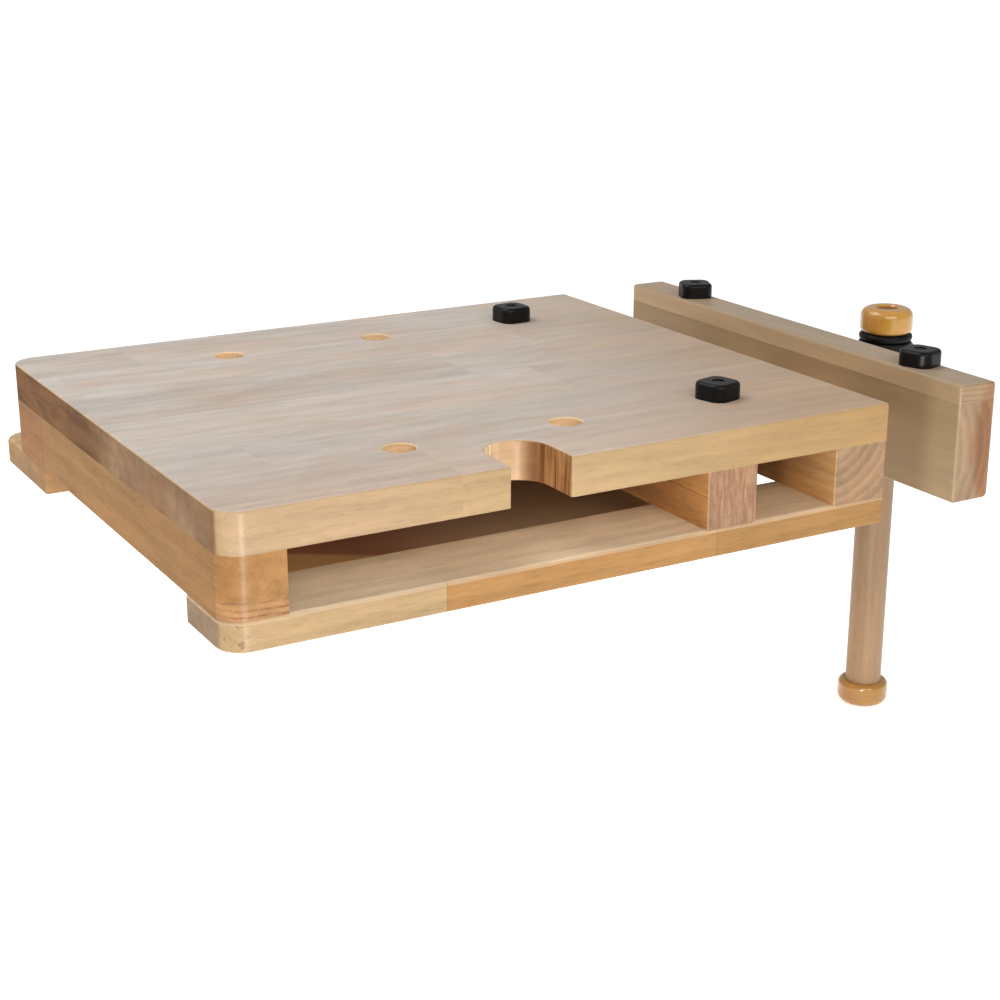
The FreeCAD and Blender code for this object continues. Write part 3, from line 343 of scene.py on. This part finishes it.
def left_special(m, p, n, base, value, fibre, cloud):
    # ring bands in the lower third of the front end
    front = m.step(n[1], -0.3, -0.12, 1.0, 0.0)
    z = m.add(p[2], m.mul(m.math("SUBTRACT", cloud, 0.5), 3.0), m.mul(p[0], 0.035))
    low = m.step(m.math("ABSOLUTE", m.math("SUBTRACT", z, 15.0)), 5.0, 7.0, 1.0, 0.0)
    band = m.math("SINE", m.mul(z, 1.6))
    base = m.mix(m.mul(m.mul(front, low), 0.45), base, lin(188, 146, 106))
    broken = m.step(m.noise(m.vec(m.mul(p[0], 0.16), m.mul(p[2], 0.5), 5.0), 1.0, 2.0, 0.5), 0.38, 0.60, 0.12, 0.75)
    base = m.mix(m.mul(m.mul(m.mul(front, low), m.step(band, 0.0, 0.8)), broken), base, lin(142, 92, 68))
    # a redder length towards the rear of the left side
    side = m.step(n[0], -0.9, -0.5, 1.0, 0.0)
    base = m.mix(m.mul(side, m.step(p[1], 292.0, 293.0, 0.0, 0.5)), base, lin(158, 108, 74))
    joint = m.step(m.math("ABSOLUTE", m.math("SUBTRACT", p[1], 292.5)), 0.2, 0.7, 1.0, 0.0)
    return base, m.math("SUBTRACT", value, m.mul(joint, 0.3))


def right_special(m, p, n, base, value, fibre, cloud):
    # painted shade: the side in the bay darkens towards the rear
    side = m.step(n[0], -0.9, -0.5, 1.0, 0.0)
    painted_shade_depth = m.step(m.add(p[1], m.mul(cloud, 16.0)), 18.0, 42.0, 0.0, 0.6)
    return m.mix(m.mul(side, painted_shade_depth), base, lin(104, 74, 48)), value


def jaw_special(m, p, n, base, value, fibre, cloud):
    # a glued strip along the top of the jaw
    line = m.add(p[2], m.mul(cloud, 0.6))
    upper = m.step(line, 68.4, 68.7)
    end = m.step(m.math("ABSOLUTE", n[1]), 0.55, 0.85)
    dz = m.math("SUBTRACT", p[2], 40.0)
    heart = m.add(p[0], m.mul(m.mul(dz, dz), -0.006), m.mul(m.math("SUBTRACT", cloud, 0.5), 9.0))
    flame = m.mix(m.step(heart, 301.0, 309.0), lin(164, 136, 106), lin(146, 97, 58))
    base = m.mix(m.mul(end, 0.75), base, flame)
    # painted light and shade on the inner side: paler at its front end, and a painted shade band behind that where the
    # bench shades it
    inner = m.step(n[0], -0.9, -0.5, 1.0, 0.0)
    y = m.add(p[1], m.mul(m.math("SUBTRACT", cloud, 0.5), 14.0))
    base = m.mix(m.mul(inner, m.step(y, -8.0, 12.0, 0.55, 0.0)), base, lin(168, 145, 109))
    base = m.mix(m.mul(inner, m.mul(m.step(y, -4.0, 14.0, 0.0, 0.4), m.step(y, 50.0, 90.0, 1.0, 0.0))), base, lin(118, 95, 64))
    # the glued strip's paler tone is the wood's own; on the inner side it is painted still lighter towards the rear,
    # which is painted light
    base = m.mix(m.mul(upper, m.add(0.34, m.mul(inner, m.step(y, 0.0, 110.0, 0.1, 0.46)), m.mul(end, -0.1))), base, lin(185, 156, 120))
    band = m.math("SINE", m.mul(m.add(p[2], m.mul(cloud, 2.0), m.mul(p[0], 0.05)), 1.7))
    base = m.mix(m.mul(m.mul(upper, end), m.step(band, 0.1, 0.9, 0.0, 0.34)), base, lin(132, 88, 60))
    joint = m.step(m.math("ABSOLUTE", m.math("SUBTRACT", line, 68.5)), 0.2, 0.7, 1.0, 0.0)
    return base, m.math("SUBTRACT", value, m.mul(joint, 0.09))


def cap_special(m, p, n, base, value, fibre, cloud):
    # painted shade: darker underneath and on the lower cap
    shade = m.add(m.step(n[2], -0.75, -0.05, 0.2, 0.0), m.step(p[2], -150.0, -100.0, 0.22, 0.0))
    return base, m.math("SUBTRACT", value, shade)


def handle_special(m, p, n, base, value, fibre, cloud):
    # the turned bar is paler towards its lower end
    return base, m.add(value, m.step(p[2], -195.0, -75.0, 0.28, 0.0))


def lamella(z0):
    """A dark glue line along a block's long sides and upright streaks on its ends."""
    def special(m, p, n, base, value, fibre, cloud):
        joint = m.step(m.math("ABSOLUTE", m.math("SUBTRACT", p[2], z0)), 0.2, 0.7, 1.0, 0.0)
        end = m.step(m.math("ABSOLUTE", n[1]), 0.55, 0.85)
        joint = m.mul(joint, m.math("SUBTRACT", 1.0, end))
        streak = m.noise(m.vec(m.mul(p[0], 0.55), 3.0, m.mul(p[2], 0.07)), 1.0, 3.0, 0.6, 0.4)
        base = m.mix(m.mul(end, m.step(streak, 0.42, 0.66, 0.0, 0.7)), base, lin(140, 92, 66))
        base = m.mix(m.mul(end, m.step(streak, 0.30, 0.46, 0.5, 0.0)), base, lin(186, 150, 120))
        return base, m.math("SUBTRACT", value, m.mul(joint, 0.3))
    return special


# ---------------------------------------------------------------- metal and plastic
def metal(name, colour, rough, axis, seed, dirt=(70, 60, 50), dirt_amount=0.35, streak=0.12, metallic=1.0):
    m = Nodes(name)
    p = m.split(m.pos)
    g, a, b = (p[i] for i in {"X": (0, 1, 2), "Y": (1, 0, 2), "Z": (2, 0, 1)}[axis])
    lines = m.noise(m.vec(m.mul(g, 3.0), m.mul(a, 0.25), m.mul(b, 0.25)), 1.0, 3.0, 0.65)
    cloud = m.noise(m.vec(m.add(g, seed), a, b), 0.06, 4.0, 0.6)
    base = m.mix(m.mul(m.step(cloud, 0.48, 0.75), dirt_amount), colour, lin(*dirt))
    m.put(m.bsdf.inputs["Base Color"], m.shade(base, m.add(1.0 - streak, m.mul(lines, streak * 2.0))))
    m.put(m.bsdf.inputs["Roughness"], m.add(rough - 0.1, m.mul(lines, 0.1), m.mul(cloud, 0.2)))
    m.bsdf.inputs["Metallic"].default_value = metallic
    m.bump(m.add(lines, m.mul(cloud, 0.5)), 0.12, 0.0001)
    return m.mat


def moulded(name, colour, scuff, rough, seed, grain=5.0, depth=0.00008, metallic=0.0, spec=0.5):
    """Moulded plastic, rubber or painted casting with a fine skin texture."""
    m = Nodes(name)
    skin = m.noise(m.pos, grain, 2.0, 0.6)
    p = m.split(m.pos)
    cloud = m.noise(m.vec(m.add(p[0], seed), p[1], p[2]), 0.12, 4.0, 0.65)
    base = m.mix(m.mul(m.step(cloud, 0.5, 0.8), 0.6), colour, scuff)
    m.put(m.bsdf.inputs["Base Color"], m.shade(base, m.add(0.8, m.mul(skin, 0.4))))
    m.put(m.bsdf.inputs["Roughness"], m.add(rough - 0.1, m.mul(cloud, 0.16), m.mul(skin, 0.06)))
    m.bsdf.inputs["Metallic"].default_value = metallic
    m.bsdf.inputs["Specular IOR Level"].default_value = spec
    m.bump(skin, 0.5, depth)
    return m.mat


def wear(node, material):
    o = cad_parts[node]
    o.data.materials.clear()
    o.data.materials.append(material)
    for poly in o.data.polygons:
        poly.material_index = 0


# ---------------------------------------------------------------------- finishes
# the dog-hole wall tone is painted light
LIT_HOLE_WALL, END_REAR, END_KNOT = lin(244, 210, 166), lin(127, 89, 54), lin(108, 73, 44)
# the top's pale grey face tone is partly a painted reflection of its sheen
TOP = wood("top_rubberwood", "X", lin(204, 192, 182), lin(195, 165, 123), lin(141, 109, 80),
           strip=(65.0, 330.0, 31.0), tint=0.05, ring=(9.0, 20.0, -60.0, 0.05), warm=(196, 164, 132), dash=0.07, fine=0.09, cloudy=0.24, rough=0.46,
           seed=1.0, seams=0.06, coat=0.05, coat_rough=0.22, spec=0.5, ior=1.05, end_from=(0.9, 0.985), special=top_special)
# the base's pale top tone is partly painted light, lightened for the light bounced inside the bays
FRONT_BASE = wood("front_base_rubberwood", "X", lin(252, 228, 194), lin(196, 163, 120), lin(157, 132, 106),
                  ring=(7.0, 30.0, -50.0, 0.07), warm=(226, 190, 146), warm_amount=0.12, dash=0.1, cloudy=0.2, seed=2.0, coat=0.05, coat_rough=0.22,
                  spec=0.5, ior=1.05, end_from=(0.9, 0.985), special=segments([(196, 166, 125, 0.8, 0.2), (185, 135, 81, 0.78, 0.2), (174, 130, 80, 0.85, 0.42)], [-92.0, 94.5]))
REAR_BASE = wood("rear_base_rubberwood", "X", lin(196, 170, 138), lin(188, 151, 105), lin(166, 132, 96),
                 strip=(51.0, 260.0, 20.0), tint=0.05, ring=(7.0, 26.0, -50.0, 0.07), warm=(180, 126, 76), dash=0.22, seed=3.0, seams=0.15, coat=0.04,
                 coat_rough=0.3, spec=0.5, ior=1.05, end_from=(0.9, 0.985))
LEFT = wood("left_block_rubberwood", "Y", lin(176, 138, 94), lin(161, 122, 79), lin(175, 131, 84),
            ring=(14.0, -260.0, -60.0, 0.1), warm=(150, 96, 54), dash=0.14, pore=0.14, seed=0.0, swirl=12.0, warm_amount=0.2, cloudy=0.36, coat=0.05,
            coat_rough=0.22, spec=0.5, ior=1.05, end_from=(0.12, 0.3), special=left_special)
# its sides, seen in the bays, are painted paler: partly painted light for the light bounced inside the bays
MIDDLE = wood("middle_block_rubberwood", "Y", lin(190, 146, 100), lin(209, 150, 90), lin(164, 127, 94),
              ring=(9.0, 150.0, 110.0, 0.06), warm=(170, 112, 78), warm_amount=0.15, dash=0.2, seed=0.0, swirl=16.0, coat=0.1, coat_rough=0.3, special=lamella(38.7))
# its sides, seen in the bays, are painted paler: partly painted light for the light bounced inside the bays
RIGHT = wood("right_block_rubberwood", "Y", lin(190, 150, 108), lin(218, 169, 111), lin(160, 128, 95),
             ring=(7.6, 181.0, 70.0, 0.24), warm=(170, 112, 72), warm_amount=0.2, dash=0.16, seed=0.0, swirl=8.0, coat=0.1, coat_rough=0.3, side_ring=0.5, special=right_special)
JAW = wood("jaw_rubberwood", "Y", lin(165, 149, 130), lin(146, 121, 86), lin(149, 116, 86),
           ring=(8.5, 246.0, 36.0, 0.2), warm=(158, 110, 76), warm_amount=0.2, dash=0.06, seed=0.0, swirl=15.0, fine=0.1, cloudy=0.16, coat=0.09, coat_rough=0.25,
           side_ring=0.4, ring_top=68.3, special=jaw_special)
DOWEL = wood("dowel_beech", "Z", lin(210, 180, 140), lin(210, 180, 140), lin(190, 150, 110), ring=(3.0, 0.0, 0.0, 0.1), seed=5.0)
HANDLE = wood("handle_hardwood", "Z", lin(153, 124, 93), lin(149, 120, 89), lin(140, 84, 56),
              ring=(5.0, 402.0, 150.0, 0.07), warm=(138, 100, 66), dash=0.12, rough=0.42, seed=0.0, swirl=7.0, fine=0.1, cloudy=0.2, coat=0.1, special=handle_special)
CAP = wood("cap_hardwood", "X", lin(199, 146, 58), lin(195, 142, 54), lin(190, 133, 48),
           ring=(3.5, 170.0, 30.0, 0.05), warm=(192, 130, 54), dash=0.08, pore=0.1, rough=0.3, coat=0.9, coat_rough=0.07, spec=0.4, seed=0.0, swirl=5.0, fine=0.05, cloudy=0.08,
           special=cap_special)

ROD = metal("bright_bar", lin(196, 196, 198), 0.28, "X", 3.0, dirt_amount=0.2, streak=0.08)
SCREW = metal("oiled_thread", lin(150, 150, 148), 0.36, "X", 9.0, dirt=(52, 46, 40), dirt_amount=0.5)
PLATE = metal("zinc_plate", lin(178, 178, 176), 0.38, "Z", 5.0, dirt=(120, 112, 100), dirt_amount=0.4)
ZINC = metal("zinc_fastener", lin(190, 188, 180), 0.34, "Z", 7.0, dirt=(120, 110, 90), dirt_amount=0.4)
BRASS = metal("oiled_brass", lin(190, 156, 92), 0.32, "X", 2.0, dirt=(90, 70, 40), dirt_amount=0.4)
NUT = moulded("painted_nut_casting", lin(58, 60, 62), lin(84, 82, 78), 0.5, 4.0, grain=1.3, depth=0.0003)
HUB = moulded("painted_hub_casting", lin(12, 12, 12), lin(26, 25, 24), 0.45, 6.0, grain=1.1, depth=0.0003, spec=0.2)
BLACK = metal("black_oxide", lin(42, 42, 44), 0.45, "Z", 1.0, dirt=(20, 20, 20))
RUBBER = moulded("ring_rubber_skin", lin(8, 8, 8), lin(16, 15, 15), 0.5, 8.0, grain=3.0, spec=0.2)
DOG = moulded("dog_plastic_skin", lin(10, 8, 8), lin(18, 15, 14), 0.36, 2.5, grain=4.0, spec=0.2)

for node, material in {
        "top_board": TOP, "left_end_block": LEFT, "middle_block": MIDDLE, "right_end_block": RIGHT,
        "front_base_board": FRONT_BASE, "rear_base_board": REAR_BASE, "block_dowels": DOWEL, "base_screws": ZINC,
        "screw_nut": NUT, "nut_screws": ZINC, "middle_guide_bushes": BRASS, "right_guide_bushes": BRASS,
        "vise_jaw": JAW, "guide_rod_front": ROD, "guide_rod_rear": ROD, "rod_bolts": ZINC, "rod_washers": ZINC,
        "thrust_plate": PLATE, "thrust_plate_screws": ZINC, "vise_screw": SCREW, "screw_hub": HUB, "hub_pin": ROD,
        "retaining_collar": PLATE, "collar_grub_screw": BLACK, "thrust_washer": PLATE, "handle_bar": HANDLE,
        "handle_cap_upper": CAP, "handle_cap_lower": CAP, "handle_ring": RUBBER, "bench_dog_front": DOG,
        "bench_dog_rear": DOG, "jaw_dog_front": DOG, "jaw_dog_rear": DOG}.items():
    wear(node, material)


# ------------------------------------------------------------- threaded vise screw
def threaded_screw():
    """The spindle with its right-hand trapezoidal thread, in place of the plain bar."""
    lo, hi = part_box("vise_screw")
    cy, cz = (lo[1] + hi[1]) / 2, (lo[2] + hi[2]) / 2
    x0, x1 = lo[0], 0.2905
    pitch, major, minor, steps = 0.004, 0.009, 0.00705, 48
    profile = [(0.0, minor), (0.32, minor), (0.5, major - 0.00015), (0.53, major), (0.79, major), (0.82, major - 0.00015)]
    turns = int((x1 - x0) / pitch) + 3
    mesh = bpy.data.meshes.new("vise_screw_thread")
    bm = bmesh.new()
    rows = []
    for u in range(turns * len(profile)):
        t, r = profile[u % len(profile)]
        row = []
        for j in range(steps):
            ang = 2 * math.pi * j / steps
            x = x0 + pitch * (u // len(profile) + t - 1.5 + j / steps)
            rr = r
            if x < x0 + 0.002:
                rr = min(r, minor - 0.0008 + max(0.0, x - x0) * 1.0)
            xx = min(max(x, x0), x1)
            row.append(bm.verts.new((xx, cy - rr * math.sin(ang), cz + rr * math.cos(ang))))
        rows.append(row)
    k = len(profile)
    for u in range(len(rows) - 1):
        for j in range(steps):
            if j < steps - 1:
                q = (rows[u][j], rows[u + 1][j], rows[u + 1][j + 1], rows[u][j + 1])
            elif u + k + 1 < len(rows):
                q = (rows[u][j], rows[u + 1][j], rows[u + k + 1][0], rows[u + k][0])
            else:
                continue
            bm.faces.new(q)
    bmesh.ops.remove_doubles(bm, verts=bm.verts, dist=1e-6)

    def lathe(points, closed_ends):
        rings = []
        for x, r in points:
            rings.append([bm.verts.new((x, cy - r * math.sin(2 * math.pi * j / steps), cz + r * math.cos(2 * math.pi * j / steps))) for j in range(steps)])
        for p, q in zip(rings, rings[1:]):
            for j in range(steps):
                bm.faces.new((p[j], q[j], q[(j + 1) % steps], p[(j + 1) % steps]))
        if closed_ends:
            bm.faces.new(rings[0])
            bm.faces.new(rings[-1])

    lathe([(x0, 0.0015), (x0, 0.0064), (x0 + 0.001, 0.0070), (x0 + 0.004, 0.0070)], True)
    lathe([(x1 - 0.001, 0.0070), (x1 - 0.001, 0.0086), (x1 - 0.0004, major), (hi[0] - 0.0301, major), (hi[0] - 0.0301, 0.0075), (hi[0], 0.0075)], True)
    bmesh.ops.recalc_face_normals(bm, faces=bm.faces)
    bm.to_mesh(mesh)
    bm.free()
    o = bpy.data.objects.new("vise_screw_thread", mesh)
    scene.collection.objects.link(o)
    mesh.materials.append(SCREW)
    for f in mesh.polygons:
        f.use_smooth = True
    mesh.set_sharp_from_angle(angle=math.radians(32))
    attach(o, "screw")
    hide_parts("vise_screw")
    return o


threaded_screw()


# ------------------------------------------------------------------ floor and light
def sheet(name, lo, hi, z, colour, glow=0.0, side=None, lit_wedge=None):
    mesh = bpy.data.meshes.new(name)
    mesh.from_pydata([(lo[0], lo[1], z), (hi[0], lo[1], z), (hi[0], hi[1], z), (lo[0], hi[1], z)], [], [(0, 1, 2, 3)])
    o = bpy.data.objects.new(name, mesh)
    scene.collection.objects.link(o)
    m = Nodes(name + "_paper")
    n = m.noise(m.pos, 0.02, 3.0, 0.6)
    base = m.rgb(colour)
    # painted light on a sheet: paler towards the right, and a painted lit wedge near the front left corner
    if side:
        p = m.split(m.pos)
        base = m.mix(m.step(p[0], -110.0, 60.0), base, side)
        base = m.mix(m.step(m.add(p[1], m.mul(p[0], 0.64)), 21.0, 28.0, 1.0, 0.0), base, lit_wedge)
    m.put(m.bsdf.inputs["Base Color"], m.shade(base, m.add(0.99, m.mul(n, 0.02))))
    m.bsdf.inputs["Roughness"].default_value = 0.9
    m.bsdf.inputs["Specular IOR Level"].default_value = 0.1
    m.bsdf.inputs["Emission Color"].default_value = (1, 1, 1, 1)
    m.bsdf.inputs["Emission Strength"].default_value = glow
    mesh.materials.append(m.mat)
    return o


sheet("floor", (-120, -120), (120, 120), cad_lo[2] - 0.0006, (0.9, 0.9, 0.9, 1), 0.665)
# a brown sheet under the bench for the table it stood on: its brown is partly painted shade, it is painted paler
# towards the right, and a painted lit wedge lies at its front left
sheet("painted_shade_table_sheet", (-0.17, 0.034), (0.18, 0.29), -0.0012, lin(180, 124, 92), 0.0, lin(218, 186, 146), lin(224, 178, 118))

world = bpy.data.worlds.new("studio")
scene.world = world
world.use_nodes = True
bg = world.node_tree.nodes["Background"]
bg.inputs["Color"].default_value = (1.0, 1.0, 1.0, 1)
# bright along the horizon, like a studio's white sweep
toward = world.node_tree.nodes.new("ShaderNodeTexCoord")
height = world.node_tree.nodes.new("ShaderNodeSeparateXYZ")
fade = world.node_tree.nodes.new("ShaderNodeMapRange")
world.node_tree.links.new(toward.outputs["Generated"], height.inputs[0])
world.node_tree.links.new(height.outputs["Z"], fade.inputs["Value"])
for socket, value in (("From Min", 0.05), ("From Max", 0.15), ("To Min", 1.0), ("To Max", 0.38)):
    fade.inputs[socket].default_value = value
world.node_tree.links.new(fade.outputs["Result"], bg.inputs["Strength"])


def area(name, place, target, size, power, colour=(1, 1, 1)):
    light = bpy.data.lights.new(name, "AREA")
    light.shape = "RECTANGLE"
    light.size, light.size_y = size
    light.energy = power
    light.color = colour
    o = bpy.data.objects.new(name, light)
    scene.collection.objects.link(o)
    o.location = place
    o.rotation_euler = (Vector(target) - Vector(place)).to_track_quat("-Z", "Y").to_euler()
    o.visible_camera = False
    return o


area("key", (-0.35, -1.9, 1.25), (0.0, 0.05, 0.02), (2.0, 1.1), 27.0, (1.0, 0.985, 0.96))
area("top_fill", (-0.6, 0.75, 1.5), (-0.05, 0.2, 0.0), (1.2, 1.0), 14.0)
# a narrow strip that only makes a reflection along the rounded front corner
strip = area("low_strip", (-0.275, -0.50, -0.124), (-0.213, -0.031, 0.05), (0.17, 0.22), 7.0)
strip.visible_diffuse = False

# ------------------------------------------------------------------------- camera
cam = bpy.data.cameras.new("photo_view")
cam.sensor_width = 36.0
cam.sensor_fit = "HORIZONTAL"
cam.lens = 1847.6 / 1000.0 * 36.0
cam.clip_start, cam.clip_end = 0.05, 400.0
co = bpy.data.objects.new("photo_view", cam)
scene.collection.objects.link(co)
yaw, pitch = math.radians(29.789), math.radians(18.054)
fwd = Vector((math.sin(yaw) * math.cos(pitch), math.cos(yaw) * math.cos(pitch), -math.sin(pitch)))
co.location = (-0.3235 - 0.225, -0.8570 - 0.031, 0.3831)
co.rotation_mode = "QUATERNION"
co.rotation_quaternion = fwd.to_track_quat("-Z", "Y")
scene.camera = co
